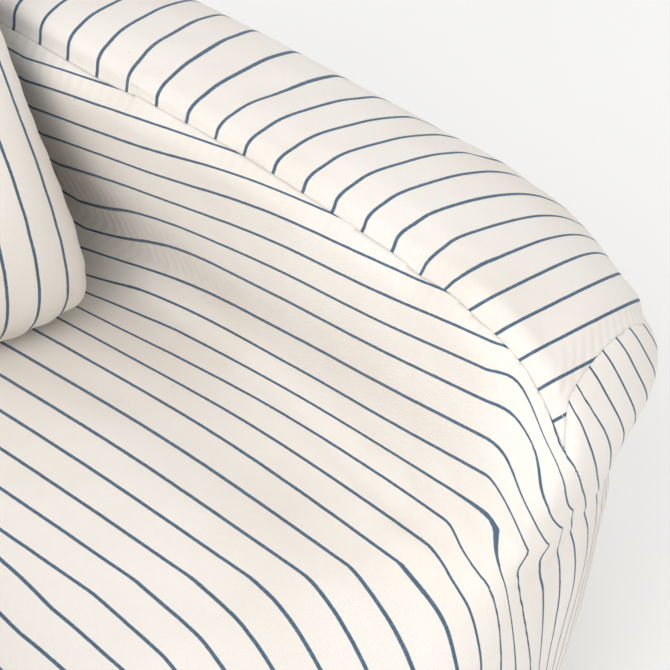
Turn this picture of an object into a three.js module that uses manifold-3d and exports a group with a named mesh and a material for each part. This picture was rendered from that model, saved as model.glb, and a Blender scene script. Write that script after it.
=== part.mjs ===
// Pouf armchair: a bean-filled lounge chair of striped cotton canvas. One cloth makes the seat, the
// inner arms and the front. Two cross-striped panels make the arm tops and outer sides. A back, a flat
// base panel and a loose back cushion complete it. Every piece is a filled solid with its sewn form.
// Millimetres, +Z up, the sitter faces -Y, origin on the floor under the middle of the chair.

import * as THREE from "three";
import { mergeVertices } from "three/addons/utils/BufferGeometryUtils.js";
import Module from "manifold-3d";

const wasm = await Module();
wasm.setup();

// Driving dimensions
const GAP = 0.3; // clearance between sewn pieces
const BASE_THICK = 3; // flat panel under the chair
const BODY_FLOOR = BASE_THICK + GAP; // underside of the filled pieces

// Outer form of the filled body, a rounded outline at each height. half is half the width, front and
// rear are how far the outline reaches from the middle, and square is its superellipse exponent.
const BODY_FORM = [
  { z: BODY_FLOOR, half: 392, front: 322, rear: 300, square: 3.0 },
  { z: 40, half: 416, front: 336, rear: 318, square: 3.2 },
  { z: 110, half: 445, front: 346, rear: 345, square: 3.5 },
  { z: 200, half: 464, front: 351, rear: 365, square: 3.8 },
  { z: 290, half: 466, front: 360, rear: 374, square: 4.3 },
  { z: 340, half: 460, front: 378, rear: 378, square: 4.8 },
  { z: 375, half: 451, front: 391, rear: 380, square: 5.2 },
  { z: 405, half: 438, front: 389, rear: 378, square: 5.2 },
  { z: 430, half: 421, front: 379, rear: 374, square: 5.0 },
  { z: 450, half: 391, front: 357, rear: 366, square: 4.4 },
  { z: 463, half: 354, front: 328, rear: 354, square: 4.0 },
  { z: 472, half: 312, front: 288, rear: 336, square: 3.8 },
  { z: 478, half: 240, front: 220, rear: 300, square: 3.8 },
];
const BODY_TOP = 480;
const BODY_CROWN = 0.5; // size of the flat at the very top, as a share of the last outline

// Back piece, by height as well. front and rear are the two faces' places along the depth.
const BACK_FORM = [
  { z: BODY_FLOOR, half: 380, front: 192, rear: 326, square: 3.2 },
  { z: 40, half: 406, front: 191, rear: 344, square: 3.2 },
  { z: 110, half: 434, front: 190, rear: 366, square: 3.2 },
  { z: 200, half: 455, front: 190, rear: 383, square: 3.2 },
  { z: 290, half: 461, front: 196, rear: 390, square: 3.2 },
  { z: 370, half: 454, front: 226, rear: 391, square: 3.1 },
  { z: 430, half: 440, front: 250, rear: 391, square: 3.0 },
  { z: 500, half: 418, front: 274, rear: 390, square: 2.9 },
  { z: 560, half: 390, front: 290, rear: 387, square: 2.8 },
  { z: 596, half: 362, front: 300, rear: 381, square: 2.7 },
  { z: 620, half: 330, front: 311, rear: 371, square: 2.7 },
  { z: 634, half: 290, front: 324, rear: 358, square: 2.7 },
];
const BACK_TOP = 639;
const BACK_CROWN = { across: 0.86, deep: 0.5 };

// Seat hollow, by its place along the depth. middle and side are the seat's heights on the centre
// line and beside the arms, corner is the round between seat and arm, crease and rim are how far the
// inner arm stands from the centre line at its foot and at its top, and puff is its swell inwards.
const HOLLOW_FORM = [
  { y: 330, middle: 300, side: 262, corner: 32, crease: 300, rim: 248, puff: 9 },
  { y: 125, middle: 298, side: 262, corner: 32, crease: 300, rim: 248, puff: 9 },
  { y: -30, middle: 296, side: 268, corner: 36, crease: 287, rim: 246, puff: 8 },
  { y: -180, middle: 288, side: 274, corner: 44, crease: 262, rim: 242, puff: 5 },
  { y: -280, middle: 275, side: 272, corner: 52, crease: 245, rim: 239, puff: 2 },
  { y: -345, middle: 262, side: 268, corner: 58, crease: 237, rim: 238, puff: 0 },
  { y: -430, middle: 240, side: 262, corner: 62, crease: 240, rim: 242, puff: 0 },
];
const RIM_HEIGHT = 478;
const HOLLOW_TOP = 620;
// The seat's fall from its middle to its sides: share of the way out, and share of the fall there.
const SEAT_DIP = [
  { out: 0.35, fall: 0.18 },
  { out: 0.62, fall: 0.6 },
];
const SEAT_EDGE_RISE = 1.5; // lift of the seat where the round to the arm starts
const ARC_INSET = 1 - Math.SQRT1_2; // how far the middle of a quarter round stands in from its corner
const KNEE_START = -284; // where the seat starts to roll over the front edge
const KNEE_ROUND = 66; // radius of that roll
const NOSE_START = -352; // where the inner arm starts to round into its front
const NOSE_ROUND = 46;
const FALL_AWAY = 12; // slope of the cut past the end of a roll

// Arm seam along the arm's inner edge: how far out it runs and how high it lies.
const ARM_SEAM = [
  { y: 330, x: 252, z: 474 },
  { y: 125, x: 252, z: 477 },
  { y: -100, x: 249, z: 478 },
  { y: -230, x: 243, z: 475 },
  { y: -304, x: 239, z: 466 },
  { y: -345, x: 238, z: 452 },
  { y: -370, x: 240, z: 432 },
  { y: -384, x: 245, z: 402 },
  { y: -389, x: 252, z: 374 },
];
const SEAM_SLANT = 0.27; // the arm piece's inner side leans out by this much as it goes down
const SLANT_FOOT = 250; // below this height it goes straight down
// Mitre where the arm panel meets the front cloth, and the side seam that runs on to the floor.
const MITRE_INNER = { x: 252, y: -389, z: 374 };
const MITRE_OUTER = { x: 406, y: -306 };
const SIDE_SEAM_FOOT = { x: 330, y: -212 };
const BEYOND = 140; // how far a cutting shape reaches past the cloth

// Loose back cushion, leaning on the back
const CUSHION_WIDTH = 492;
const CUSHION_HEIGHT = 400;
const CUSHION_THICK = 146;
const CUSHION_DRAW = 9; // how far its sides are drawn in between the corners
const CUSHION_LEAN = THREE.MathUtils.degToRad(29);
const CUSHION_FOOT = { y: 68, z: 281 }; // middle of its lower seam
const CUSHION_CORNER = 0.06; // share of its reach that each corner is rounded by
const CUSHION_CROWN = 0.5; // how full its faces are towards the rim
const CUSHION_CORNER_POWER = 6; // how close to the corners that rounding stays
const CUSHION_RIM_POWER = 4; // how close to the rim its faces come down
const BASE_INSET = 12;

// Mesh steps
const RING_STEPS = 72;
const PROFILE_STEPS = 34;
const BODY_ROWS = 24;
const BACK_ROWS = 18;
const HOLLOW_ROWS = 30;
const SEAM_STEPS = 22;
const CUSHION_STEPS = 16;
const CORNER_TRIES = 12; // steps that find where the arm's inner side meets its front
const SHOULDER_EASE = 1.5; // rows crowd towards the top by this power
const FRONT_EASE = 1.6; // cuts crowd towards the front by this power
const MERGE_WITHIN = 1e-4;

const CANVAS_CREAM = 0xeee9e2;
const CANVAS_ROUGH = 0.92;

// Every column of a table at one place, on a smooth curve through its rows.
function rowAt(table, column, at) {
  const rising = table[table.length - 1][column] > table[0][column];
  const past = (row) => (rising ? row[column] >= at : row[column] <= at);
  const found = table.findIndex(past);
  const next = found < 0 ? table.length - 1 : Math.max(found, 1);
  const a = table[next - 1];
  const b = table[next];
  const before = table[Math.max(next - 2, 0)];
  const after = table[Math.min(next + 1, table.length - 1)];
  const span = b[column] - a[column];
  const t = THREE.MathUtils.clamp((at - a[column]) / span, 0, 1);
  const row = {};
  for (const name of Object.keys(a)) {
    const slopeA = ((b[name] - before[name]) / (b[column] - before[column])) * span;
    const slopeB = ((after[name] - a[name]) / (after[column] - a[column])) * span;
    const rise = a[name] * (2 * t ** 3 - 3 * t ** 2 + 1) + b[name] * (3 * t ** 2 - 2 * t ** 3);
    row[name] = rise + slopeA * (t ** 3 - 2 * t ** 2 + t) + slopeB * (t ** 3 - t ** 2);
  }
  return row;
}

// A superellipse outline, anticlockwise seen from above, at the height of its row.
function outlineRing(row, yFront, yRear) {
  const ring = [];
  const power = 2 / row.square;
  const middle = yFront === undefined ? 0 : (yFront + yRear) / 2;
  const reachFront = yFront === undefined ? row.front : middle - yFront;
  const reachRear = yFront === undefined ? row.rear : yRear - middle;
  for (let i = 0; i < RING_STEPS; i++) {
    const angle = (2 * Math.PI * (i + 0.5)) / RING_STEPS;
    const c = Math.cos(angle);
    const s = Math.sin(angle);
    const reach = s < 0 ? reachFront : reachRear;
    const x = row.half * Math.sign(c) * Math.abs(c) ** power;
    const y = middle + reach * Math.sign(s) * Math.abs(s) ** power;
    ring.push(new THREE.Vector3(x, y, row.z));
  }
  return ring;
}

// A closed skin over rings of equal count, with a fan over each end.
function loft(rings) {
  const count = rings[0].length;
  const positions = [];
  const triangles = [];
  for (const ring of rings) {
    for (const p of ring) positions.push(p.x, p.y, p.z);
  }
  for (let r = 0; r + 1 < rings.length; r++) {
    for (let i = 0; i < count; i++) {
      const a = r * count + i;
      const b = r * count + ((i + 1) % count);
      triangles.push(a, b, b + count, a, b + count, a + count);
    }
  }
  for (const [r, turned] of [[0, true], [rings.length - 1, false]]) {
    const centre = rings[r].reduce((sum, p) => sum.add(p), new THREE.Vector3());
    centre.divideScalar(count);
    const middle = positions.length / 3;
    positions.push(centre.x, centre.y, centre.z);
    for (let i = 0; i < count; i++) {
      const a = r * count + i;
      const b = r * count + ((i + 1) % count);
      if (turned) triangles.push(b, a, middle);
      else triangles.push(a, b, middle);
    }
  }
  const geometry = new THREE.BufferGeometry();
  geometry.setAttribute("position", new THREE.Float32BufferAttribute(positions, 3));
  geometry.setIndex(triangles);
  return geometry;
}

function toSolid(geometry) {
  const bare = geometry.clone();
  bare.deleteAttribute("normal");
  bare.deleteAttribute("uv");
  const merged = mergeVertices(bare, MERGE_WITHIN);
  const vertProperties = new Float32Array(merged.attributes.position.array);
  const triVerts = new Uint32Array(merged.index.array);
  return new wasm.Manifold(new wasm.Mesh({ numProp: 3, vertProperties, triVerts }));
}

function toGeometry(solid) {
  const { vertProperties, triVerts } = solid.getMesh();
  const geometry = new THREE.BufferGeometry();
  geometry.setAttribute("position", new THREE.Float32BufferAttribute(vertProperties, 3));
  geometry.setIndex(new THREE.Uint32BufferAttribute(triVerts, 1));
  geometry.computeVertexNormals();
  return geometry;
}

const mirrored = (solid) => solid.mirror([1, 0, 0]);
const steps = (count) => Array.from({ length: count + 1 }, (_, i) => i / count);

// Heights from the floor to the top, closer together where the shoulder rounds over.
function heights(table, rows) {
  const ease = (t) => 1 - (1 - t) ** SHOULDER_EASE;
  return steps(rows).map((t) => THREE.MathUtils.lerp(table[0].z, table[table.length - 1].z, ease(t)));
}

function bodyForm() {
  const rings = heights(BODY_FORM, BODY_ROWS).map((z) => outlineRing(rowAt(BODY_FORM, "z", z)));
  const last = rings[rings.length - 1];
  const crown = last.map((p) => new THREE.Vector3(p.x * BODY_CROWN, p.y * BODY_CROWN, BODY_TOP));
  return toSolid(loft([...rings, crown]));
}

function backForm() {
  const rings = heights(BACK_FORM, BACK_ROWS).map((z) => {
    const row = rowAt(BACK_FORM, "z", z);
    return outlineRing(row, row.front, row.rear);
  });
  const last = rings[rings.length - 1];
  const top = BACK_FORM[BACK_FORM.length - 1];
  const middle = (top.front + top.rear) / 2;
  const crown = last.map((p) => {
    return new THREE.Vector3(p.x * BACK_CROWN.across, middle + (p.y - middle) * BACK_CROWN.deep, BACK_TOP);
  });
  return toSolid(loft([...rings, crown]));
}

// Fall of a round of the given radius, past where it starts.
function roll(distance, radius) {
  if (distance <= 0) return 0;
  if (distance >= radius) return radius + (distance - radius) * FALL_AWAY;
  return radius - Math.sqrt(radius ** 2 - distance ** 2);
}

// One cut across the seat hollow: the seat, the two inner arms, and the open air above.
function hollowRing(y) {
  const row = rowAt(HOLLOW_FORM, "y", y);
  const fall = Math.min(roll(KNEE_START - y, KNEE_ROUND), HOLLOW_TOP / 2);
  const flare = Math.min(roll(NOSE_START - y, NOSE_ROUND), NOSE_ROUND);
  const middle = row.middle - fall;
  const side = row.side - fall;
  const crease = row.crease + flare;
  const rim = row.rim + flare;
  const wallLow = side + row.corner;
  const wallMiddle = (wallLow + RIM_HEIGHT) / 2;
  const cornerIn = row.corner * ARC_INSET;
  const half = new THREE.CatmullRomCurve3(
    [
      new THREE.Vector3(0, y, middle),
      ...SEAT_DIP.map((dip) => new THREE.Vector3(crease * dip.out, y, middle + (side - middle) * dip.fall)),
      new THREE.Vector3(crease - row.corner, y, side + SEAT_EDGE_RISE),
      new THREE.Vector3(crease - cornerIn, y, side + cornerIn),
      new THREE.Vector3(crease, y, wallLow),
      new THREE.Vector3((crease + rim) / 2 - row.puff, y, wallMiddle),
      new THREE.Vector3(rim, y, RIM_HEIGHT),
      new THREE.Vector3(rim, y, HOLLOW_TOP),
    ],
    false,
    "centripetal",
  ).getPoints(PROFILE_STEPS);
  const left = half.slice(1).map((p) => new THREE.Vector3(-p.x, p.y, p.z));
  return [...left.reverse(), ...half];
}

function hollowForm() {
  const back = HOLLOW_FORM[0].y;
  const front = HOLLOW_FORM[HOLLOW_FORM.length - 1].y;
  const ease = (t) => 1 - (1 - t) ** FRONT_EASE;
  const rings = steps(HOLLOW_ROWS).map((t) => hollowRing(THREE.MathUtils.lerp(back, front, ease(t))));
  return toSolid(loft(rings));
}

// The space of the right arm piece, bounded by the arm seam, the mitre and the side seam.
function armRegion(grow) {
  const run = new THREE.Vector2(MITRE_OUTER.x - MITRE_INNER.x, MITRE_OUTER.y - MITRE_INNER.y);
  const slope = run.y / run.x;
  const footFront = SIDE_SEAM_FOOT.y - slope * (SIDE_SEAM_FOOT.x - MITRE_INNER.x);
  const rings = [-BEYOND, SLANT_FOOT, MITRE_INNER.z, BACK_TOP].map((z) => {
    const down = Math.max((MITRE_INNER.z - z) / MITRE_INNER.z, 0);
    const start = THREE.MathUtils.lerp(MITRE_INNER.y, footFront, down) - grow;
    const front = (x) => start + slope * (x - MITRE_INNER.x);
    const side = (y) => {
      const seam = rowAt(ARM_SEAM, "y", y);
      return seam.x + SEAM_SLANT * (seam.z - Math.max(z, SLANT_FOOT)) - grow;
    };
    let end = MITRE_INNER.y;
    for (let i = 0; i < CORNER_TRIES; i++) end = front(side(end));
    const inner = steps(SEAM_STEPS).map((t) => {
      const y = THREE.MathUtils.lerp(ARM_SEAM[0].y, end, t);
      return new THREE.Vector3(side(y), y, z);
    });
    const out = MITRE_OUTER.x + BEYOND;
    const far = new THREE.Vector3(out, front(out), z);
    const rear = new THREE.Vector3(out, ARM_SEAM[0].y, z);
    return [...inner, far, rear];
  });
  return toSolid(loft(rings));
}

// A plump pad of two faces sewn at their rim, its sides drawn in and its corners a little rounded.
function cushionForm() {
  const up = new THREE.Vector3(0, Math.sin(CUSHION_LEAN), Math.cos(CUSHION_LEAN));
  const out = new THREE.Vector3(0, -Math.cos(CUSHION_LEAN), Math.sin(CUSHION_LEAN));
  const foot = new THREE.Vector3(0, CUSHION_FOOT.y, CUSHION_FOOT.z);
  const positions = [];
  const triangles = [];
  const row = CUSHION_STEPS + 1;
  const spread = (t) => Math.sin((Math.PI / 2) * (2 * t - 1));
  for (const face of [1, -1]) {
    const first = positions.length / 3;
    for (const v of steps(CUSHION_STEPS).map(spread)) {
      for (const u of steps(CUSHION_STEPS).map(spread)) {
        const round = 1 - CUSHION_CORNER * (u * v) ** CUSHION_CORNER_POWER;
        const x = u * round * (CUSHION_WIDTH / 2 - CUSHION_DRAW * (1 - v * v));
        const high = CUSHION_HEIGHT / 2 + v * round * (CUSHION_HEIGHT / 2 - CUSHION_DRAW * (1 - u * u));
        const plump = ((1 - u ** CUSHION_RIM_POWER) * (1 - v ** CUSHION_RIM_POWER)) ** CUSHION_CROWN;
        const p = foot.clone().addScaledVector(up, high);
        p.addScaledVector(out, (face * plump * CUSHION_THICK) / 2);
        positions.push(p.x + x, p.y, p.z);
      }
    }
    for (let i = 0; i < CUSHION_STEPS; i++) {
      for (let j = 0; j < CUSHION_STEPS; j++) {
        const a = first + i * row + j;
        const corners = face > 0 ? [a, a + 1, a + row + 1, a + row] : [a, a + row, a + row + 1, a + 1];
        triangles.push(corners[0], corners[1], corners[2], corners[0], corners[2], corners[3]);
      }
    }
  }
  const geometry = new THREE.BufferGeometry();
  geometry.setAttribute("position", new THREE.Float32BufferAttribute(positions, 3));
  geometry.setIndex(triangles);
  return toSolid(geometry);
}

// The flat panel under the chair, a little smaller than the body that stands on it.
function baseForm() {
  const row = { ...BODY_FORM[0], half: BODY_FORM[0].half - BASE_INSET };
  const front = BASE_INSET - BODY_FORM[0].front;
  const rear = BACK_FORM[0].rear - BASE_INSET;
  return toSolid(loft([0, BASE_THICK].map((z) => outlineRing({ ...row, z }, front, rear))));
}

function piece(name, solid) {
  const material = new THREE.MeshStandardMaterial({
    color: CANVAS_CREAM,
    roughness: CANVAS_ROUGH,
    metalness: 0,
  });
  const mesh = new THREE.Mesh(toGeometry(solid), material);
  mesh.name = name;
  return mesh;
}

const backSolid = backForm();
const backRoom = backSolid.translate([0, -GAP, 0]).add(backSolid);
const body = bodyForm().subtract(hollowForm()).subtract(backRoom);
const armRight = body.intersect(armRegion(0));
const armRoom = armRegion(GAP);
const seat = body.subtract(armRoom).subtract(mirrored(armRoom));
const resting = body.translate([0, 0, GAP]).add(backSolid.translate([0, -GAP, 0]));
const cushion = cushionForm().subtract(resting);

const chair = new THREE.Group();
chair.add(piece("base", baseForm()));
chair.add(piece("seat", seat));
chair.add(piece("arm_right", armRight));
chair.add(piece("arm_left", mirrored(armRight)));
chair.add(piece("back", backSolid));
chair.add(piece("cushion", cushion));

export default chair;
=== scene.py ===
# %% [markdown]
# # A pouf armchair in thin-striped canvas
# The real chair is a sewn canvas cover filled with light beads. One cloth makes the seat, the inner
# arms and the front, two cross-striped panels make the arm tops and outer sides, and a back, a flat
# base and a loose cushion complete it. This lesson dresses the fixed CAD solids: each soft solid is
# copied, filled out by a short cloth simulation, cut along its seams and given striped canvas.

# %% Set up
import math
import bmesh
import bpy
import numpy as np
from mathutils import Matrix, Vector, noise
from mathutils.bvhtree import BVHTree


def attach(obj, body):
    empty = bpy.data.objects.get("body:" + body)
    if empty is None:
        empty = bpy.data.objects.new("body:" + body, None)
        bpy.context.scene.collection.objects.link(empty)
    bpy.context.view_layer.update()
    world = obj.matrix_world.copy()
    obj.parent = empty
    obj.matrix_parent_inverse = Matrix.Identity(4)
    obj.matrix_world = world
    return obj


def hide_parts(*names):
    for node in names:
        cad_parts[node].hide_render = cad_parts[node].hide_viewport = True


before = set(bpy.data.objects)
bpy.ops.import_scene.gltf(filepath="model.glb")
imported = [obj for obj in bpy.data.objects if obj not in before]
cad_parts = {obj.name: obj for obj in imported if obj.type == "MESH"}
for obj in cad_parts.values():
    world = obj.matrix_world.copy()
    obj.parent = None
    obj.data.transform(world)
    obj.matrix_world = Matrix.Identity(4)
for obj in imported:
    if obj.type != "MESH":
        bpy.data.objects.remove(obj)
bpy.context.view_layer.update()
scene = bpy.context.scene
MM = 0.001

# %% [markdown]
# ## Camera
# The photograph is a close view of one front corner, taken from well away, so the lens is long. The
# camera stands on a line from the point it looks at, given by an azimuth and an elevation.

# %% Camera
PHOTO_SIDE = 670  # pixels
FOCAL_PIXELS = 3500
SENSOR = 36  # millimetres
AIM = Vector((0.320, -0.090, 0.300))
DISTANCE = 2.445
AZIMUTH = math.radians(-42.5)
ELEVATION = math.radians(33)

towards_camera = Vector((
    math.sin(AZIMUTH) * math.cos(ELEVATION),
    -math.cos(AZIMUTH) * math.cos(ELEVATION),
    math.sin(ELEVATION),
))
camera_data = bpy.data.cameras.new("camera")
camera_data.sensor_width = SENSOR
camera_data.lens = FOCAL_PIXELS / PHOTO_SIDE * SENSOR
camera_data.clip_start = 0.05
camera_data.clip_end = 60
camera = bpy.data.objects.new("camera", camera_data)
scene.collection.objects.link(camera)
camera.location = AIM + towards_camera * DISTANCE
camera.rotation_mode = "QUATERNION"
camera.rotation_quaternion = towards_camera.to_track_quat("Z", "Y")
scene.camera = camera
print("camera lens", round(camera_data.lens, 1), "mm")

# %% [markdown]
# ## Light and floor
# A product photograph on white: light from all round, one large soft lamp above and a little to the
# left, and a pale floor that is just bright enough to go white.

# %% Light
scene.view_settings.view_transform = "Standard"
world = bpy.data.worlds.new("studio")
scene.world = world
world.use_nodes = True
world.node_tree.nodes["Background"].inputs["Color"].default_value = (1, 0.995, 0.985, 1)
world.node_tree.nodes["Background"].inputs["Strength"].default_value = 0.84


def soft_lamp(name, place, aim, size, power):
    data = bpy.data.lights.new(name, "AREA")
    data.shape = "DISK"
    data.size = size
    data.energy = power
    lamp = bpy.data.objects.new(name, data)
    scene.collection.objects.link(lamp)
    lamp.location = place
    lamp.rotation_mode = "QUATERNION"
    lamp.rotation_quaternion = (Vector(aim) - Vector(place)).to_track_quat("-Z", "Y")
    return lamp


soft_lamp("key", (-2.3, -1.4, 2.2), (0.1, 0, 0.3), 2.4, 54)
soft_lamp("top", (0.2, 0.9, 3.0), (0, 0, 0.3), 2.2, 4)
print("two lamps")


# %% [markdown]
# ## Shader maths as Python
# A node graph is arithmetic drawn as boxes. This small class wraps a socket, so that an expression
# such as `1 - mask` adds the Math node for us.

# %% Node helper
class Graph:
    """The nodes of one material."""

    def __init__(self, name):
        self.material = bpy.data.materials.new(name)
        self.material.use_nodes = True
        self.tree = self.material.node_tree
        self.shader = self.tree.nodes["Principled BSDF"]

    def node(self, kind, settings=None, **sockets):
        made = self.tree.nodes.new(kind)
        for key, value in (settings or {}).items():
            setattr(made, key, value)
        for key, value in sockets.items():
            wanted = key.replace("_", " ").lower()
            found = [s for s in made.inputs if s.name.lower() == wanted and s.enabled]
            self.feed(found[0], value)
        return made

    def feed(self, socket, value):
        if isinstance(value, Value):
            self.tree.links.new(value.socket, socket)
        else:
            socket.default_value = value

    def maths(self, operation, *values):
        made = self.tree.nodes.new("ShaderNodeMath")
        made.operation = operation
        for socket, value in zip(made.inputs, values):
            self.feed(socket, value)
        return Value(self, made.outputs[0])

    def mix(self, factor, a, b):
        made = self.tree.nodes.new("ShaderNodeMix")
        made.data_type = "RGBA"
        for name, value in (("Factor_Float", factor), ("A_Color", a), ("B_Color", b)):
            self.feed(next(s for s in made.inputs if s.identifier == name), value)
        return Value(self, next(s for s in made.outputs if s.identifier == "Result_Color"))


class Value:
    """One socket, with the operators that the materials use."""

    def __init__(self, graph, socket):
        self.graph = graph
        self.socket = socket

    def __add__(self, other):
        return self.graph.maths("ADD", self, other)

    def __sub__(self, other):
        return self.graph.maths("SUBTRACT", self, other)

    def __mul__(self, other):
        return self.graph.maths("MULTIPLY", self, other)

    def __truediv__(self, other):
        return self.graph.maths("DIVIDE", self, other)

    def __radd__(self, other):
        return self.graph.maths("ADD", other, self)

    def __rsub__(self, other):
        return self.graph.maths("SUBTRACT", other, self)

    def __rmul__(self, other):
        return self.graph.maths("MULTIPLY", other, self)

    def __abs__(self):
        return self.graph.maths("ABSOLUTE", self)

    def wrapped(self):
        return self.graph.maths("FRACT", self)

    def sine(self):
        return self.graph.maths("SINE", self)

    def clamped(self, low, high):
        return self.graph.maths("MINIMUM", self.graph.maths("MAXIMUM", self, low), high)

    def step(self, low, high):
        made = self.graph.node("ShaderNodeMapRange", {"interpolation_type": "SMOOTHSTEP"})
        for socket, value in zip(made.inputs, (self, low, high, 0.0, 1.0)):
            self.graph.feed(socket, value)
        return Value(self.graph, made.outputs[0])


# %% [markdown]
# ## Striped canvas
# The stripes are woven in, so they follow the cloth and not the object. Every piece stores a point
# attribute named `cloth`: how far it is across the stripes in stripe pitches, how far it is along
# them in metres, and how far it is from the nearest seam. The twill lines, the yarns and the
# puckers by the seams are a small bump on the same coordinates.

# %% Canvas material
PITCH = 0.030
STRIPE_WIDTH = 0.0031
TWILL_PITCH = 0.0017
CREAM = (0.842, 0.806, 0.762, 1)
CREAM_WARM = (0.800, 0.748, 0.690, 1)
SLATE = (0.022, 0.080, 0.150, 1)
SLATE_LIGHT = (0.045, 0.125, 0.215, 1)
FLECK = (0.36, 0.27, 0.19, 1)


def canvas(name, striped):
    g = Graph(name)
    cloth = g.node("ShaderNodeAttribute", {"attribute_name": "cloth"})
    parts = g.node("ShaderNodeSeparateXYZ", Vector=Value(g, cloth.outputs["Vector"]))
    across = Value(g, parts.outputs["X"])
    along = Value(g, parts.outputs["Y"])
    seam = Value(g, parts.outputs["Z"])
    place = Value(g, g.node("ShaderNodeTexCoord").outputs["Object"])

    def cloudy(scale, detail, vector=place):
        made = g.node("ShaderNodeTexNoise", Vector=vector, Scale=scale, Detail=detail)
        return Value(g, made.outputs[0])

    ground = g.mix(cloudy(9.0, 3.0).step(0.35, 0.75), CREAM, CREAM_WARM)
    flat = g.node("ShaderNodeCombineXYZ", X=across * PITCH, Y=along)
    on_cloth = Value(g, flat.outputs[0])
    yarn_map = g.node("ShaderNodeCombineXYZ", X=across * (PITCH * 14), Y=along)
    yarns = cloudy(190.0, 2.0, Value(g, yarn_map.outputs[0]))
    ground = g.mix((yarns - 0.5).clamped(0.0, 0.5) * 0.30, ground, (0.70, 0.63, 0.55, 1))
    specks = g.node("ShaderNodeTexVoronoi", {"feature": "F1"}, Vector=on_cloth, Scale=46.0)
    speck_pick = cloudy(23.0, 0.0, on_cloth).step(0.60, 0.64)
    speck = (1 - Value(g, specks.outputs["Distance"]).step(0.025, 0.05)) * speck_pick
    ground = g.mix(speck * 0.75, ground, FLECK)
    colour = ground
    if striped:
        wander = (cloudy(60.0, 1.0, on_cloth) - 0.5) * 0.016
        offset = abs((across + wander + 0.5).wrapped() - 0.5) * PITCH
        slub = (cloudy(420.0, 1.0, on_cloth) - 0.5) * 0.0005
        stripe = 1 - (offset + slub).step(STRIPE_WIDTH * 0.36, STRIPE_WIDTH * 0.62)
        blue = g.mix(cloudy(330.0, 1.0, on_cloth).step(0.40, 0.72), SLATE, SLATE_LIGHT)
        colour = g.mix(stripe * 0.94, ground, blue)
    g.feed(g.shader.inputs["Base Color"], colour)
    g.shader.inputs["Roughness"].default_value = 0.88
    g.shader.inputs["Specular IOR Level"].default_value = 0.22
    g.shader.inputs["Sheen Weight"].default_value = 0.12
    g.shader.inputs["Sheen Roughness"].default_value = 0.5
    turn = 2 * math.pi / TWILL_PITCH
    twill = ((across * PITCH + along * 0.62) * turn).sine()
    pucker = (along * (2 * math.pi / 0.011)).sine() * (1 - seam.step(0.002, 0.022))
    height = twill * 0.10 + yarns * 0.45 + pucker * 0.55 + cloudy(34.0, 3.0) * 0.9
    bump = g.node("ShaderNodeBump", Strength=0.35, Distance=0.0011, Height=height)
    g.feed(g.shader.inputs["Normal"], Value(g, bump.outputs["Normal"]))
    return g.material


STRIPED = canvas("stripe_cloth", True)
PLAIN = canvas("plain_cloth", False)
print("materials", STRIPED.name, PLAIN.name)


# %% [markdown]
# ## Thread and floor
# Sewing thread is a twisted yarn, a little glossier than the cloth. The floor is plain.

# %% Thread and floor materials
def thread_material():
    g = Graph("cream_thread")
    place = Value(g, g.node("ShaderNodeTexCoord").outputs["Object"])
    twist = g.node("ShaderNodeTexWave", {"bands_direction": "DIAGONAL"}, Vector=place, Scale=900.0)
    tone = g.mix(Value(g, twist.outputs["Fac"]), (0.70, 0.64, 0.56, 1), (0.82, 0.77, 0.70, 1))
    g.feed(g.shader.inputs["Base Color"], tone)
    g.shader.inputs["Roughness"].default_value = 0.7
    return g.material


def floor_material():
    g = Graph("pale_floor")
    place = Value(g, g.node("ShaderNodeTexCoord").outputs["Object"])
    grain = g.node("ShaderNodeTexNoise", Vector=place, Scale=3.0, Detail=2.0)
    tone = g.mix(Value(g, grain.outputs[0]), (0.955, 0.955, 0.952, 1), (0.975, 0.975, 0.973, 1))
    g.feed(g.shader.inputs["Base Color"], tone)
    g.shader.inputs["Roughness"].default_value = 0.9
    g.shader.inputs["Specular IOR Level"].default_value = 0.1
    return g.material


THREAD = thread_material()
floor_mesh = bpy.data.meshes.new("floor")
FLOOR_REACH = 9
corners = [(-1, -1), (1, -1), (1, 1), (-1, 1)]
floor_mesh.from_pydata([(x * FLOOR_REACH, y * FLOOR_REACH, 0) for x, y in corners], [], [(0, 1, 2, 3)])
floor_mesh.materials.append(floor_material())
floor = bpy.data.objects.new("floor", floor_mesh)
scene.collection.objects.link(floor)
print("floor", 2 * FLOOR_REACH, "m")


# %% [markdown]
# ## Mesh helpers
# Vertex positions are read and written as one array, which is fast. A modifier is applied by taking
# the evaluated mesh, so nothing live is left on a piece.

# %% Mesh helpers
def points_of(mesh):
    flat = np.empty(len(mesh.vertices) * 3)
    mesh.vertices.foreach_get("co", flat)
    return flat.reshape(-1, 3)


def normals_of(mesh):
    flat = np.empty(len(mesh.vertices) * 3)
    mesh.vertex_normals.foreach_get("vector", flat)
    return flat.reshape(-1, 3)


def move_points(mesh, places):
    mesh.vertices.foreach_set("co", places.astype(np.float32).ravel())
    mesh.update()


def settle(piece):
    """Applies every modifier."""
    evaluated = piece.evaluated_get(bpy.context.evaluated_depsgraph_get())
    mesh = bpy.data.meshes.new_from_object(evaluated)
    piece.modifiers.clear()
    piece.data = mesh
    return piece


def copy_nodes(name, nodes):
    """One new object with the merged meshes of these CAD nodes."""
    form = bmesh.new()
    for node in nodes:
        form.from_mesh(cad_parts[node].data)
    bmesh.ops.remove_doubles(form, verts=form.verts, dist=1e-5)
    mesh = bpy.data.meshes.new(name)
    form.to_mesh(mesh)
    form.free()
    piece = bpy.data.objects.new(name, mesh)
    scene.collection.objects.link(piece)
    return piece


def apply_one(piece, kind, **settings):
    modifier = piece.modifiers.new(kind.lower(), kind)
    for key, value in settings.items():
        setattr(modifier, key, value)
    return settle(piece)


def remesh(piece, voxel):
    return apply_one(piece, "REMESH", mode="VOXEL", voxel_size=voxel)


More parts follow.
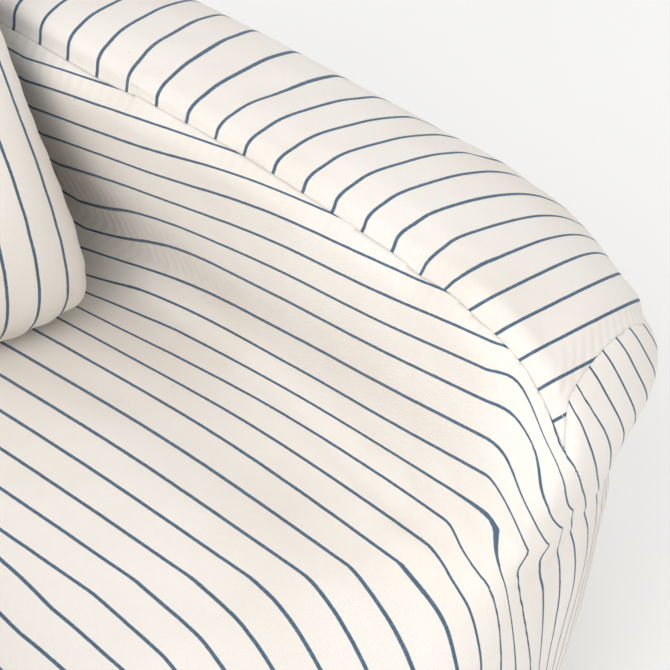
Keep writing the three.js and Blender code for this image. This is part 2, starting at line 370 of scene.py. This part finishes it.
def outer_shell(piece):
    """Keeps the largest closed shell, and drops bubbles left between joined solids."""
    form = bmesh.new()
    form.from_mesh(piece.data)
    left = set(form.verts)
    shells = []
    while left:
        start = left.pop()
        shell = {start}
        edge = [start]
        while edge:
            vert = edge.pop()
            for link in vert.link_edges:
                other = link.other_vert(vert)
                if other in left:
                    left.discard(other)
                    shell.add(other)
                    edge.append(other)
        shells.append(shell)
    keep = max(shells, key=len)
    drop = [v for shell in shells if shell is not keep for v in shell]
    bmesh.ops.delete(form, geom=drop, context="VERTS")
    form.to_mesh(piece.data)
    form.free()
    return len(shells)


START_SMALLER = 0.3  # share of the cap by which a piece shrinks first, since it swells


def fill_out(piece, cap, pressure, frames=8):
    """A short cloth simulation with air pressure inside. No point moves further than cap."""
    before = points_of(piece.data) - normals_of(piece.data) * cap * START_SMALLER
    move_points(piece.data, before)
    cloth = piece.modifiers.new("filling", "CLOTH")
    cloth.settings.quality = 3
    cloth.settings.use_pressure = True
    cloth.settings.uniform_pressure_force = pressure
    cloth.settings.effector_weights.gravity = 0
    cloth.point_cache.frame_start = 1
    cloth.point_cache.frame_end = frames
    for number in range(1, frames + 1):
        scene.frame_set(number)
    evaluated = piece.evaluated_get(bpy.context.evaluated_depsgraph_get())
    after = points_of(evaluated.data)
    piece.modifiers.clear()
    scene.frame_set(1)
    move = after - before
    length = np.linalg.norm(move, axis=1, keepdims=True)
    move *= np.minimum(1, cap / np.maximum(length, 1e-9))
    move_points(piece.data, before + move)
    return float(np.linalg.norm(move, axis=1).mean())


print("helpers ready")

# %% [markdown]
# ## The filled body
# Seat and arms share one filling, so they are first dressed as one closed form: the three solids are
# joined by a voxel remesh, blown up a little by the simulation, smoothed and subdivided. The seams
# come later, because a remesh would remove them.

# %% Body form
BODY_VOXEL = 0.008
body = copy_nodes("body", ["seat", "arm_right", "arm_left"])
remesh(body, BODY_VOXEL)
shells = outer_shell(body)
apply_one(body, "SMOOTH", factor=0.5, iterations=3)
mean_move = fill_out(body, 0.006, 4.0)
apply_one(body, "SMOOTH", factor=0.5, iterations=2)
apply_one(body, "SUBSURF", levels=1, render_levels=1)
print("body", len(body.data.vertices), "points", shells, "shells, mean move", round(mean_move / MM, 2), "mm")

# %% [markdown]
# ## Where the seams run
# The arm panel is bounded by the arm seam along the inner edge, the mitre across the front shoulder
# and the side seam down to the floor. The same few named points place the cut here as in the solids.

# %% Seam lines
ARM_SEAM = [
    {"y": 330, "x": 252, "z": 474},
    {"y": 125, "x": 252, "z": 477},
    {"y": -100, "x": 249, "z": 478},
    {"y": -230, "x": 243, "z": 475},
    {"y": -304, "x": 239, "z": 466},
    {"y": -345, "x": 238, "z": 452},
    {"y": -370, "x": 240, "z": 432},
    {"y": -384, "x": 245, "z": 402},
    {"y": -389, "x": 252, "z": 374},
]
SEAM_SLANT = 0.27
SLANT_FOOT = 250
MITRE_INNER = {"x": 252, "y": -375, "z": 374}
MITRE_OUTER = {"x": 406, "y": -327}
SIDE_SEAM_FOOT = {"x": 330, "y": -212}
MITRE_SLOPE = (MITRE_OUTER["y"] - MITRE_INNER["y"]) / (MITRE_OUTER["x"] - MITRE_INNER["x"])
FOOT_FRONT = SIDE_SEAM_FOOT["y"] - MITRE_SLOPE * (SIDE_SEAM_FOOT["x"] - MITRE_INNER["x"])


def smooth_rows(table, column, at):
    """Every other column at the given places, on a smooth curve through the table's rows."""
    rows = sorted(table, key=lambda row: row[column])
    keys = np.array([row[column] for row in rows], float)
    at = np.clip(np.asarray(at, float), keys[0], keys[-1])
    found = {}
    span = np.searchsorted(keys, at, side="right").clip(1, len(keys) - 1)
    width = keys[span] - keys[span - 1]
    t = (at - keys[span - 1]) / width
    for name in rows[0]:
        value = np.array([row[name] for row in rows], float)
        slope = np.gradient(value, keys)
        a, b = value[span - 1], value[span]
        steep_a, steep_b = slope[span - 1] * width, slope[span] * width
        rise = a * (2 * t**3 - 3 * t**2 + 1) + b * (3 * t**2 - 2 * t**3)
        found[name] = rise + steep_a * (t**3 - 2 * t**2 + t) + steep_b * (t**3 - t**2)
    return found


def arm_side(y, z):
    """Where the arm piece's inner side stands, in millimetres from the centre line."""
    seam = smooth_rows(ARM_SEAM, "y", y)
    return seam["x"] + SEAM_SLANT * (seam["z"] - np.maximum(z, SLANT_FOOT))


def arm_front(x, z):
    """Where the arm piece's front side stands."""
    down = np.maximum((MITRE_INNER["z"] - z) / MITRE_INNER["z"], 0)
    start = MITRE_INNER["y"] * (1 - down) + FOOT_FRONT * down
    return start + MITRE_SLOPE * (x - MITRE_INNER["x"])


def seam_field(places):
    """Signed distance in millimetres to the arm panel's border: positive on the arm panel."""
    x = np.abs(places[:, 0]) / MM
    y = places[:, 1] / MM
    z = places[:, 2] / MM
    inner = (x - arm_side(y, z)) * 0.96
    front = (y - arm_front(x, z)) * 0.87
    return np.minimum(inner, front)


print("seam lines ready")

# %% [markdown]
# ## Soft folds and pressed seams
# A plain seam pulls the filled cloth in, so both panels stand a few millimetres proud beside it. The
# folds are long soft waves laid where the cloth has slack. Each fold is one row: where it
# starts and ends on the surface, how wide it is and how far it stands out or in.

# %% Folds
FOLDS = [
    {"a": (262, -130, 330), "b": (250, -330, 395), "wide": 26, "out": 3.0},
    {"a": (270, 60, 400), "b": (255, -120, 430), "wide": 24, "out": -2.5},
    {"a": (280, 20, 340), "b": (262, -150, 372), "wide": 22, "out": 2.2},
    {"a": (270, -20, 470), "b": (400, -50, 478), "wide": 20, "out": -3.0},
    {"a": (290, 60, 476), "b": (360, 40, 482), "wide": 16, "out": 2.0},
    {"a": (380, -150, 468), "b": (430, -205, 440), "wide": 13, "out": -3.2},
    {"a": (395, -120, 462), "b": (440, -190, 432), "wide": 12, "out": 2.6},
    {"a": (262, -250, 476), "b": (350, -235, 470), "wide": 17, "out": -2.2},
    {"a": (255, -385, 340), "b": (262, -362, 180), "wide": 20, "out": 3.2},
    {"a": (300, -352, 300), "b": (292, -330, 130), "wide": 17, "out": -2.6},
    {"a": (350, -300, 240), "b": (330, -262, 60), "wide": 12, "out": -3.0},
    {"a": (368, -285, 200), "b": (352, -250, 50), "wide": 9, "out": 2.6},
    {"a": (160, -344, 225), "b": (150, -340, 90), "wide": 30, "out": -3.0},
    {"a": (60, -352, 220), "b": (40, -345, 60), "wide": 34, "out": 2.6},
    {"a": (120, -60, 296), "b": (130, -270, 285), "wide": 40, "out": 2.4},
    {"a": (170, 60, 290), "b": (190, -180, 280), "wide": 30, "out": -2.6},
    {"a": (410, -330, 250), "b": (428, -290, 460), "wide": 80, "out": -22},
]
SEAM_DEPTH = 1.8
SEAM_REACH = 5.0
SEAM_PROUD = 1.2
ABOVE_BASE = 0.0033  # the filled pieces lie on the base panel, so nothing swells through it


def along_segment(places, a, b):
    """Distance to a segment, and the share of the way along it."""
    start = np.array(a, float)
    run = np.array(b, float) - start
    share = np.clip((places - start) @ run / (run @ run), 0, 1)
    return np.linalg.norm(places - start - share[:, None] * run, axis=1), share


def fold_height(places):
    """Height of all folds at these places, in millimetres. Both sides of the chair have them."""
    both = places / MM
    both[:, 0] = np.abs(both[:, 0])
    total = np.zeros(len(both))
    for fold in FOLDS:
        distance, share = along_segment(both, fold["a"], fold["b"])
        fade = np.sin(np.pi * (0.12 + 0.76 * share))
        total += fold["out"] * fade * np.exp(-((distance / fold["wide"]) ** 2))
    return total


def slack(places, size, seed):
    """Soft random unevenness from about -1 to 1."""
    offset = Vector((seed, 2 * seed, 3 * seed))
    return np.array([noise.noise(Vector(p) / size + offset) for p in places])


def press_seam(distance, depth, reach, proud):
    groove = -depth * np.exp(-((distance / reach) ** 2))
    swell = proud * np.exp(-(((np.abs(distance) - 2.6 * reach) / (1.5 * reach)) ** 2))
    return groove + swell


mesh = body.data
places = points_of(mesh)
field = seam_field(places)
lift = fold_height(places)
lift += press_seam(field, SEAM_DEPTH, SEAM_REACH, SEAM_PROUD)
lift += 1.5 * slack(places, 0.13, 3) + 0.7 * slack(places, 0.05, 8)
lift *= np.clip((places[:, 2] / MM - 6) / 30, 0, 1)
places = places + normals_of(mesh) * lift[:, None] * MM
places[:, 2] = np.maximum(places[:, 2], ABOVE_BASE)
move_points(mesh, places)
print("folds", len(FOLDS), "lift", round(lift.min(), 1), round(lift.max(), 1), "mm")


# %% [markdown]
# ## Cutting the panels
# A closed cutter with the arm panel's border takes the arm out of the body, and the rest is the seat
# cloth. The cutter is a loft: the same outline at a few heights, joined by walls.

# %% Arm cutter
BEYOND = 140
CUTTER_STEPS = 60
GAP = 0.15


def arm_outline(z, grow, side):
    inner_end = MITRE_INNER["y"]
    for _ in range(12):
        inner_end = float(arm_front(arm_side(inner_end, z) - grow, z)) - grow
    line = []
    for y in np.linspace(ARM_SEAM[0]["y"] + 60, inner_end, CUTTER_STEPS):
        line.append((float(arm_side(y, z)) - grow, y, z))
    out = MITRE_OUTER["x"] + BEYOND
    line.append((out, float(arm_front(out, z)) - grow, z))
    line.append((out, ARM_SEAM[0]["y"] + 60, z))
    return [(side * x * MM, y * MM, z * MM) for x, y, z in line]


def arm_cutter(name, grow, side):
    levels = [-60, SLANT_FOOT, MITRE_INNER["z"], 700]
    rings = [arm_outline(z, grow, side) for z in levels]
    count = len(rings[0])
    faces = [tuple(range(count)), tuple(range(3 * count, 4 * count))]
    for r in range(3):
        for i in range(count):
            j = (i + 1) % count
            faces.append((r * count + i, r * count + j, (r + 1) * count + j, (r + 1) * count + i))
    mesh = bpy.data.meshes.new(name)
    mesh.from_pydata([p for ring in rings for p in ring], [], faces)
    form = bmesh.new()
    form.from_mesh(mesh)
    bmesh.ops.triangulate(form, faces=form.faces)
    bmesh.ops.recalc_face_normals(form, faces=form.faces)
    form.to_mesh(mesh)
    form.free()
    cutter = bpy.data.objects.new(name, mesh)
    scene.collection.objects.link(cutter)
    return cutter


def cut(piece, cutter, operation):
    apply_one(piece, "BOOLEAN", object=cutter, operation=operation, solver="MANIFOLD")


def duplicate(piece, name):
    made = bpy.data.objects.new(name, piece.data.copy())
    scene.collection.objects.link(made)
    return made


def discard(*objects):
    for o in objects:
        bpy.data.objects.remove(o)


BODY_SURFACE = BVHTree.FromObject(body, bpy.context.evaluated_depsgraph_get())
covers = {}
for name, side in (("arm_right", 1), ("arm_left", -1)):
    cover = duplicate(body, name + "_cover")
    exact = arm_cutter("cutter", -GAP, side)
    cut(cover, exact, "INTERSECT")
    discard(exact)
    covers[name] = cover
seat_cover = duplicate(body, "seat_cover")
for side in (1, -1):
    wide = arm_cutter("cutter", GAP, side)
    cut(seat_cover, wide, "DIFFERENCE")
    discard(wide)
covers["seat"] = seat_cover
discard(body)
for name, cover in covers.items():
    print(name, len(cover.data.polygons), "faces")

# %% [markdown]
# ## Laying the stripes on the seat cloth
# The cloth can't be measured flat, so two short tables say where a few of its stripes lie, and every
# point takes the stripe between them. On the seat and up the inner arm the place is counted outwards
# and upwards together, which runs on smoothly round the bend. On the front it is counted outwards.

# %% Seat stripes
MIDDLE_STRIPE = 19.5
PITCH_MM = PITCH / MM
# Outward plus upward distance of some stripes, at five places along the seat.
SEAT_STRIPES = [
    {"y": 160, "s13": 192, "s11": 236, "s9": 272, "s7": 312, "s5": 354, "s3": 388, "s1": 426},
    {"y": 40, "s13": 201, "s11": 246, "s9": 294, "s7": 340, "s5": 372, "s3": 405, "s1": 449},
    {"y": -100, "s13": 207, "s11": 257, "s9": 302, "s7": 351, "s5": 391, "s3": 432, "s1": 472},
    {"y": -230, "s13": 203, "s11": 257, "s9": 305, "s7": 357, "s5": 400, "s3": 448, "s1": 490},
    {"y": -330, "s13": 196, "s11": 252, "s9": 309, "s7": 365, "s5": 412, "s3": 462, "s1": 504},
]
# Outward distance of some stripes on the front, at nine heights.
FRONT_STRIPES = [
    {"z": 460, "s13": 190, "s11": 206, "s9": 220, "s7": 232, "s5": 243, "s3": 262, "s1": 298, "s_1": 336},
    {"z": 410, "s13": 190, "s11": 206, "s9": 221, "s7": 235, "s5": 247, "s3": 269, "s1": 304, "s_1": 340},
    {"z": 380, "s13": 190, "s11": 207, "s9": 223, "s7": 241, "s5": 252, "s3": 285, "s1": 318, "s_1": 356},
    {"z": 340, "s13": 190, "s11": 210, "s9": 227, "s7": 247, "s5": 275, "s3": 309, "s1": 341, "s_1": 372},
    {"z": 300, "s13": 191, "s11": 217, "s9": 238, "s7": 268, "s5": 303, "s3": 338, "s1": 368, "s_1": 396},
    {"z": 260, "s13": 196, "s11": 229, "s9": 248, "s7": 289, "s5": 323, "s3": 352, "s1": 380, "s_1": 406},
    {"z": 220, "s13": 195, "s11": 234, "s9": 258, "s7": 300, "s5": 334, "s3": 362, "s1": 390, "s_1": 414},
    {"z": 165, "s13": 194, "s11": 238, "s9": 276, "s7": 301, "s5": 324, "s3": 350, "s1": 378, "s_1": 404},
    {"z": 10, "s13": 190, "s11": 224, "s9": 256, "s7": 286, "s5": 314, "s3": 342, "s1": 370, "s_1": 398},
]
SEAT_CROWN = {"top": 291, "fall": 18, "reach": 240}  # height of the seat cloth, middle to side
SEAT_LEVEL = 270
NOSE = {"start": -322, "end": -366}
UNDER_NOSE = {"start": 320, "end": 270}
KNEE_SIDE = {"start": 130, "end": 215}
CORNER_SIDE = {"start": 255, "end": 285}
CORNER_FRONT = {"start": -240, "end": -280}


def ease(value, start, end):
    share = np.clip((value - start) / (end - start), 0, 1)
    return share * share * (3 - 2 * share)


def between(value, rows, stripes):
    """The stripe at value, where rows hold the place of each listed stripe for every point."""
    result = np.zeros(len(value))
    for i in range(len(stripes) - 1):
        low, high = rows[i], rows[i + 1]
        share = (value - low) / (high - low)
        here = (share >= 0) | (i == 0)
        result[here] = stripes[i] + share[here] * (stripes[i + 1] - stripes[i])
    return result


def seat_stripe(places):
    x = np.abs(places[:, 0]) / MM
    y = places[:, 1] / MM
    z = places[:, 2] / MM
    crown = SEAT_CROWN["top"] - SEAT_CROWN["fall"] * ease(x, 0, SEAT_CROWN["reach"])
    outwards = x + np.maximum(z, crown) - SEAT_LEVEL
    rows = smooth_rows(SEAT_STRIPES, "y", y)
    names = ["s13", "s11", "s9", "s7", "s5", "s3", "s1"]
    middle = np.full(len(x), SEAT_CROWN["top"] - SEAT_LEVEL)
    on_seat = between(outwards, [middle] + [rows[n] for n in names], [MIDDLE_STRIPE, 13, 11, 9, 7, 5, 3, 1])
    rows = smooth_rows(FRONT_STRIPES, "z", z)
    names = ["s13", "s11", "s9", "s7", "s5", "s3", "s1", "s_1"]
    stripes = [MIDDLE_STRIPE, 13, 11, 9, 7, 5, 3, 1, -1]
    on_front = between(x, [x * 0] + [rows[n] for n in names], stripes)
    front = ease(y, NOSE["start"], NOSE["end"])
    below = ease(z, UNDER_NOSE["start"], UNDER_NOSE["end"]) * ease(y, -290, -330)
    front = np.maximum(front, below) * ease(x, KNEE_SIDE["start"], KNEE_SIDE["end"])
    corner = ease(x, CORNER_SIDE["start"], CORNER_SIDE["end"])
    corner = corner * ease(y, CORNER_FRONT["start"], CORNER_FRONT["end"])
    front = np.maximum(front, corner)
    return on_seat * (1 - front) + on_front * front


# %% [markdown]
# ## Laying the stripes on the arms
# On the arm the stripes cross from the inner seam over the top and down outside. They are counted
# from the back to the front, and at the front the falling shoulder uses up cloth as well.

# %% Arm stripes
ARM_STRIPE_NINE = -102


def arm_stripe(places):
    x = np.abs(places[:, 0]) / MM
    y = places[:, 1] / MM
    z = places[:, 2] / MM
    count = 9 + (ARM_STRIPE_NINE - y) / PITCH_MM + 0.4 * ease(y, -40, 160)
    count += 1.35 * ease(y, -120, 100) * np.clip((x - 255) / 120, 0, 1.2) * ease(z, 300, 430)
    fall = np.maximum(466 - z, 0) / 31
    front = np.clip((-225 - y) / 75, 0, 1)
    front = front * front * (3 - 2 * front)
    return count + fall * front


def store_cloth(piece, across, along, seam):
    values = np.stack([across, along, seam], axis=1).astype(np.float32)
    attribute = piece.data.attributes.new("cloth", "FLOAT_VECTOR", "POINT")
    attribute.data.foreach_set("vector", values.ravel())


def finish_piece(piece, material, nodes):
    piece.data.materials.clear()
    piece.data.materials.append(material)
    piece.data.shade_smooth()
    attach(piece, "root")
    if nodes:
        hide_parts(*nodes)


def length_along(places):
    """A measure along the seat cloth: back to front on the seat, and down on the front."""
    y = places[:, 1]
    drop = np.maximum(0.3 - places[:, 2], 0)
    return -y + drop


for name, cover in covers.items():
    places = points_of(cover.data)
    distance = np.abs(seam_field(places)) * MM
    if name == "seat":
        across = seat_stripe(places)
        along = length_along(places)
    else:
        across = arm_stripe(places)
        along = np.abs(places[:, 0]) + np.maximum(0.44 - places[:, 2], 0)
    store_cloth(cover, across, along, distance)
    finish_piece(cover, STRIPED, [name])
    print(name, "stripes", round(across.min(), 1), "to", round(across.max(), 1))

# %% [markdown]
# ## The back
# The back is a filled pad of its own, dressed the same way. Its stripes run straight up.

# %% Back
back = copy_nodes("back_cover", ["back"])
remesh(back, 0.009)
apply_one(back, "SMOOTH", factor=0.5, iterations=5)
fill_out(back, 0.006, 4.0)
apply_one(back, "SMOOTH", factor=0.5, iterations=3)
apply_one(back, "SUBSURF", levels=1, render_levels=1)
places = points_of(back.data)
lift = 2.2 * slack(places, 0.16, 21) + 0.8 * slack(places, 0.06, 4)
lift *= np.clip((places[:, 2] / MM - 6) / 30, 0, 1)
places = places + normals_of(back.data) * lift[:, None] * MM
places[:, 2] = np.maximum(places[:, 2], ABOVE_BASE)
move_points(back.data, places)
store_cloth(back, places[:, 0] / PITCH + 0.5, places[:, 2], np.full(len(places), 0.1))
finish_piece(back, STRIPED, ["back"])
print("back", len(back.data.polygons), "faces")

# %% [markdown]
# ## The loose cushion
# Two squares of canvas sewn together and filled: the middle stands up, the sides draw in between the
# corners, and short wrinkles run in from the seam. The simulation gives the plump form, and the rim
# seam is pressed in afterwards.

# %% Cushion
LEAN = math.radians(29)
CUSHION_FOOT = Vector((0, 0.068, 0.281))
CUSHION_UP = Vector((0, math.sin(LEAN), math.cos(LEAN)))
CUSHION_OUT = Vector((0, -math.cos(LEAN), math.sin(LEAN)))
CUSHION_HALF = (0.246, 0.200)


def cushion_frame(places):
    """Width, height and depth of each point in the cushion's own leaning frame, in metres."""
    local = places - np.array(CUSHION_FOOT)
    return places[:, 0], local @ np.array(CUSHION_UP) - CUSHION_HALF[1], local @ np.array(CUSHION_OUT)


cushion = copy_nodes("cushion_cover", ["cushion"])
remesh(cushion, 0.006)
apply_one(cushion, "SMOOTH", factor=0.5, iterations=4)
fill_out(cushion, 0.008, 4.0)
apply_one(cushion, "SUBSURF", levels=1, render_levels=1)
places = points_of(cushion.data)
wide, high, deep = cushion_frame(places)
rim = np.abs(deep) / MM
edge = np.maximum(np.abs(wide) / CUSHION_HALF[0], np.abs(high) / CUSHION_HALF[1])
near_rim = np.clip((edge - 0.72) / 0.2, 0, 1)
ripple = np.sin(wide * 210 + 2 * slack(places, 0.08, 2)) * (np.abs(high) > np.abs(wide) * 0.72)
ripple += np.sin(high * 230 + 2 * slack(places, 0.08, 6)) * (np.abs(high) <= np.abs(wide) * 0.72)
lift = near_rim * (press_seam(rim, 2.2, 3.2, 0.8) + 0.8 * ripple * np.exp(-((rim / 26) ** 2)))
lift += 1.6 * slack(places, 0.10, 11) + 0.6 * slack(places, 0.04, 5)
move_points(cushion.data, places + normals_of(cushion.data) * lift[:, None] * MM)
places = points_of(cushion.data)
wide, high, deep = cushion_frame(places)
CUSHION_PITCH_START = 0.35
store_cloth(cushion, wide / PITCH + CUSHION_PITCH_START, high, np.abs(deep) + (1 - near_rim) * 0.1)
finish_piece(cushion, STRIPED, ["cushion"])
print("cushion", len(cushion.data.polygons), "faces")

# %% [markdown]
# ## The base panel
# A plain flat panel closes the chair underneath. It only shows at its rim, so it keeps its outline
# and gets a rounded edge.

# %% Base
base = copy_nodes("base_panel", ["base"])
apply_one(base, "BEVEL", width=0.0012, segments=2, limit_method="ANGLE")
places = points_of(base.data)
store_cloth(base, places[:, 0] / PITCH, places[:, 1], np.full(len(places), 0.1))
finish_piece(base, PLAIN, ["base"])
print("base", len(base.data.polygons), "faces")

# %% [markdown]
# ## Seam stitches with Geometry Nodes
# A plain seam is held by a row of small stitches that just shows down in the seam. Stitches repeat
# along a path, so one node tree makes them all: it spaces points along the seam lines, puts a short
# bowed thread on each and turns it along the seam. The paths are rays and nearest points taken from
# the dressed pieces, so the thread lies on the cloth.

# %% Stitch tree
def stitch_tree():
    tree = bpy.data.node_groups.new("seam_stitches", "GeometryNodeTree")
    tree.is_modifier = True
    sockets = {}

    def ask(name, kind, value=None):
        item = tree.interface.new_socket(name, in_out="INPUT", socket_type=kind)
        if value is not None:
            item.default_value = value
        sockets[name] = item.identifier

    ask("Seam lines", "NodeSocketGeometry")
    ask("Stitch pitch", "NodeSocketFloat", 0.0032)
    ask("Stitch length", "NodeSocketFloat", 0.0025)
    ask("Thread width", "NodeSocketFloat", 0.0005)
    ask("Turn seed", "NodeSocketInt", 7)
    tree.interface.new_socket("Stitches", in_out="OUTPUT", socket_type="NodeSocketGeometry")
    start = tree.nodes.new("NodeGroupInput")
    end = tree.nodes.new("NodeGroupOutput")

    def add(kind, settings=None, **links):
        made = tree.nodes.new(kind)
        for key, value in (settings or {}).items():
            setattr(made, key, value)
        for key, value in links.items():
            socket = next(s for s in made.inputs if s.name.lower() == key.replace("_", " ") and s.enabled)
            if isinstance(value, bpy.types.NodeSocket):
                tree.links.new(value, socket)
            else:
                socket.default_value = value
        return made

    def product(value, factor):
        made = tree.nodes.new("ShaderNodeMath")
        made.operation = "MULTIPLY"
        tree.links.new(value, made.inputs[0])
        made.inputs[1].default_value = factor
        return made.outputs[0]

    length = start.outputs["Stitch length"]
    width = start.outputs["Thread width"]
    bow_start = add("ShaderNodeCombineXYZ", x=product(length, -0.5), z=product(width, -0.7))
    bow_middle = add("ShaderNodeCombineXYZ", z=product(width, 1.2))
    bow_end = add("ShaderNodeCombineXYZ", x=product(length, 0.5), z=product(width, -0.7))
    bow = add(
        "GeometryNodeCurveQuadraticBezier",
        resolution=4,
        start=bow_start.outputs[0],
        middle=bow_middle.outputs[0],
        end=bow_end.outputs[0],
    )
    profile = add("GeometryNodeCurvePrimitiveCircle", resolution=5, radius=product(width, 0.5))
    thread = add(
        "GeometryNodeCurveToMesh",
        curve=bow.outputs[0],
        profile_curve=profile.outputs[0],
        fill_caps=True,
    )
    lines = add("GeometryNodeMeshToCurve", mesh=start.outputs["Seam lines"])
    spaced = add(
        "GeometryNodeResampleCurve",
        {"mode": "LENGTH"},
        curve=lines.outputs[0],
        length=start.outputs["Stitch pitch"],
    )
    outwards = add("GeometryNodeInputNamedAttribute", {"data_type": "FLOAT_VECTOR"}, name="outwards")
    upright = add("FunctionNodeAlignRotationToVector", {"axis": "Z"}, vector=outwards.outputs[0])
    tangent = add("GeometryNodeInputTangent")
    turned = add(
        "FunctionNodeAlignRotationToVector",
        {"axis": "X", "pivot_axis": "Z"},
        rotation=upright.outputs[0],
        vector=tangent.outputs[0],
    )
    placed = add(
        "GeometryNodeInstanceOnPoints",
        points=spaced.outputs[0],
        instance=thread.outputs[0],
        rotation=turned.outputs[0],
    )
    wobble = add("FunctionNodeRandomValue", {"data_type": "FLOAT"}, seed=start.outputs["Turn seed"])
    for socket in wobble.inputs:
        if socket.enabled and socket.name == "Min":
            socket.default_value = -0.15
        if socket.enabled and socket.name == "Max":
            socket.default_value = 0.15
    angle = next(s for s in wobble.outputs if s.enabled)
    twist = add("ShaderNodeCombineXYZ", z=angle)
    loose = add("GeometryNodeRotateInstances", instances=placed.outputs[0], rotation=twist.outputs[0])
    real = add("GeometryNodeRealizeInstances", geometry=loose.outputs[0])
    dressed = add("GeometryNodeSetMaterial", geometry=real.outputs[0], material=THREAD)
    tree.links.new(dressed.outputs[0], end.inputs[0])
    return tree, sockets


# %% [markdown]
# ## Where the stitches run
# Each seam line is a list of points with the direction that faces out of the cloth.

# %% Seam paths
def surface_of(piece):
    return BVHTree.FromObject(piece, bpy.context.evaluated_depsgraph_get())


def nearest(surface, point):
    place, normal, _, _ = surface.find_nearest(Vector(point) * MM)
    return place, normal


def shot(surface, start, direction):
    place, normal, _, _ = surface.ray_cast(Vector(start) * MM, Vector(direction).normalized())
    return None if place is None else (place, normal)


def arm_seam_path(side):
    found = []
    for y in np.linspace(235, -386, 150):
        row = smooth_rows(ARM_SEAM, "y", y)
        found.append(nearest(BODY_SURFACE, (side * float(row["x"]), y, float(row["z"]))))
    return found


def mitre_path(side):
    found = []
    for x in np.linspace(MITRE_INNER["x"], MITRE_OUTER["x"] - 8, 40):
        y = float(arm_front(x, MITRE_INNER["z"])) + 1
        found.append(shot(BODY_SURFACE, (side * x, y, 600), (0, 0, -1)))
    found = [f for f in found if f]
    lowest = found[-1][0].z / MM
    far = 560
    for z in np.linspace(lowest - 6, 9, 90):
        run = Vector((MITRE_INNER["x"] - far, float(arm_front(MITRE_INNER["x"], z) - arm_front(far, z)), 0))
        run.x *= side
        found.append(shot(BODY_SURFACE, (side * far, float(arm_front(far, z)), z), run))
    return [f for f in found if f]


def rim_path(surface, centre, across, up, reach, count):
    found = []
    for angle in np.linspace(0, 2 * math.pi, count, endpoint=False):
        direction = across * math.cos(angle) + up * math.sin(angle)
        place, normal, _, _ = surface.ray_cast(centre + direction * reach, -direction)
        if place is not None:
            found.append((place, normal))
    return found + found[:1]


STITCH_DEPTH = 0.0004
paths = []
for side in (1, -1):
    paths.append(arm_seam_path(side))
    paths.append(mitre_path(side))
middle = CUSHION_FOOT + CUSHION_UP * CUSHION_HALF[1]
paths.append(rim_path(surface_of(cushion), middle, Vector((1, 0, 0)), CUSHION_UP, 0.5, 420))
base_middle = Vector((0, 0, 0.0015))
paths.append(rim_path(surface_of(base), base_middle, Vector((1, 0, 0)), Vector((0, 1, 0)), 1, 420))

path_points = []
path_edges = []
path_normals = []
for path in paths:
    first = len(path_points)
    for place, normal in path:
        path_points.append(place - normal * STITCH_DEPTH)
        path_normals.append(normal)
    path_edges += [(i, i + 1) for i in range(first, len(path_points) - 1)]
path_mesh = bpy.data.meshes.new("seam_lines")
path_mesh.from_pydata(path_points, path_edges, [])
outwards = path_mesh.attributes.new("outwards", "FLOAT_VECTOR", "POINT")
outwards.data.foreach_set("vector", np.array(path_normals, np.float32).ravel())
threads = bpy.data.objects.new("seam_stitches", path_mesh)
scene.collection.objects.link(threads)
tree, sockets = stitch_tree()
sewing = threads.modifiers.new("stitches", "NODES")
sewing.node_group = tree
sewing[sockets["Stitch pitch"]] = 0.0032
sewing[sockets["Stitch length"]] = 0.0025
sewing[sockets["Thread width"]] = 0.0005
sewing[sockets["Turn seed"]] = 7
settle(threads)
threads.data.shade_smooth()
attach(threads, "root")
print("stitches", len(threads.data.polygons), "faces on", len(paths), "seam lines")
